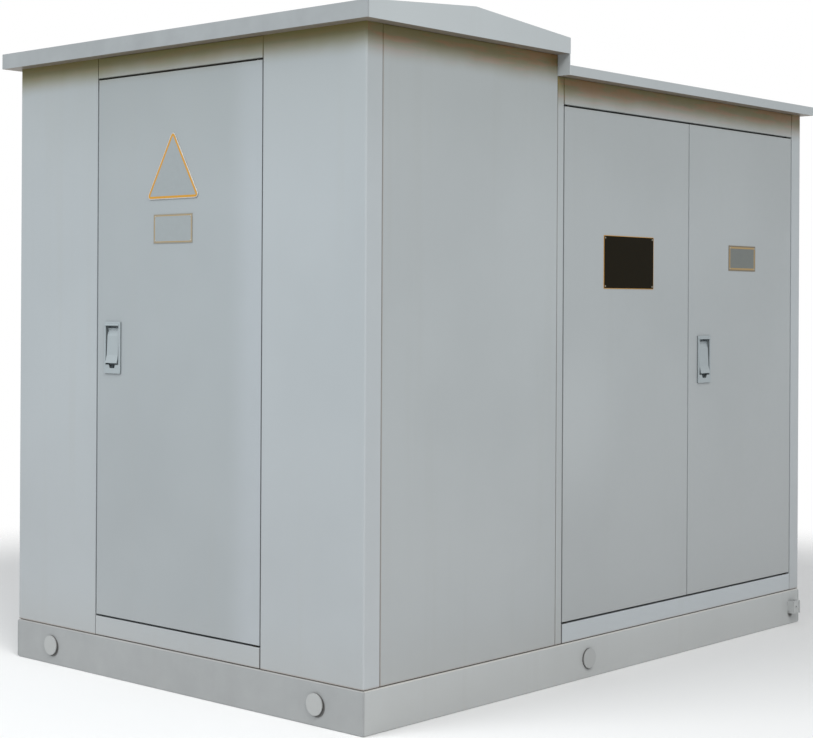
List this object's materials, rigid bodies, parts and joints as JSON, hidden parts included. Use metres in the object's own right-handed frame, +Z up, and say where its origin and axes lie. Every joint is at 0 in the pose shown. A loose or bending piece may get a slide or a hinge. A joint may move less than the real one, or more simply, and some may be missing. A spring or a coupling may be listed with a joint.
{
  "type": "compact substation",
  "caption": "Sheet steel compact substation: tall gabled end with a flush door, lower part with double doors, channel base, lift-lever locks, empty inside.",
  "frame": {"origin": "middle of the base footprint, on the ground, at the underside of the middle beam", "axes": "+X along the long side from the tall end to the low end, +Y from the front doors to the back, +Z up"},
  "size_m": [2.72, 1.87, 2.287],
  "materials": {
    "housing_paint": "satin",
    "door_paint": "satin",
    "roof_paint": "satin",
    "base_paint": "satin",
    "lock_paint": "semi gloss",
    "pin_steel": "zinc plated",
    "floor_steel": "satin",
    "seal_rubber": "matte"
  },
  "bodies": {
    "housing": {"base_rail_front": "base_paint", "base_rail_back": "base_paint", "base_rail_left": "base_paint", "base_rail_right": "base_paint", "base_cross_beams": "base_paint", "base_caps": "base_paint", "earth_terminal": "base_paint", "base_gasket": "seal_rubber", "floor_hv": "floor_steel", "floor_lv": "floor_steel", "left_end_panel_front": "housing_paint", "left_end_panel_back": "housing_paint", "right_end_panel_front": "housing_paint", "right_end_panel_back": "housing_paint", "right_end_panel_middle": "housing_paint", "hv_door_sill": "housing_paint", "hv_door_lintel": "housing_paint", "hv_door_frame": "housing_paint", "front_side_panel": "housing_paint", "front_jamb_post": "housing_paint", "front_door_sill": "housing_paint", "front_door_lintel": "housing_paint", "front_door_frame": "housing_paint", "back_side_panel": "housing_paint", "back_jamb_post": "housing_paint", "back_door_sill": "housing_paint", "back_door_lintel": "housing_paint", "back_door_frame": "housing_paint", "back_leaf_near_step": "door_paint", "back_leaf_far": "door_paint", "back_lock_case": "lock_paint", "back_lock_lever": "lock_paint", "door_hinge_pins": "pin_steel", "roof_header": "housing_paint", "tall_roof": "roof_paint", "low_roof": "roof_paint", "step_flashing": "roof_paint"},
    "hv_door": {"hv_door_leaf": "door_paint", "hv_lock_case": "lock_paint"},
    "hv_lever": {"hv_lock_lever": "lock_paint"},
    "lv_left_door": {"lv_left_leaf": "door_paint"},
    "lv_right_door": {"lv_right_leaf": "door_paint", "lv_lock_case": "lock_paint"},
    "lv_lever": {"lv_lock_lever": "lock_paint"}
  },
  "joints": [
    {"name": "hv_door_hinge", "type": "hinge", "parent": "housing", "child": "hv_door", "pos_m": [-1.317, -0.39675, 1.16375], "axis": [0, 0, 1], "range_deg": [0, 110]},
    {"name": "lv_left_door_hinge", "type": "hinge", "parent": "housing", "child": "lv_left_door", "pos_m": [-0.29175, -0.877, 1.116], "axis": [0, 0, -1], "range_deg": [0, 110]},
    {"name": "lv_right_door_hinge", "type": "hinge", "parent": "housing", "child": "lv_right_door", "pos_m": [1.223, -0.877, 1.116], "axis": [0, 0, 1], "range_deg": [0, 110]},
    {"name": "hv_lever_pivot", "type": "hinge", "parent": "hv_door", "child": "hv_lever", "pos_m": [-1.317, 0.33375, 1.23], "axis": [0, 1, 0], "range_deg": [0, 60]},
    {"name": "lv_lever_pivot", "type": "hinge", "parent": "lv_right_door", "child": "lv_lever", "pos_m": [0.58275, -0.877, 1.181], "axis": [-1, 0, 0], "range_deg": [0, 60]}
  ]
}
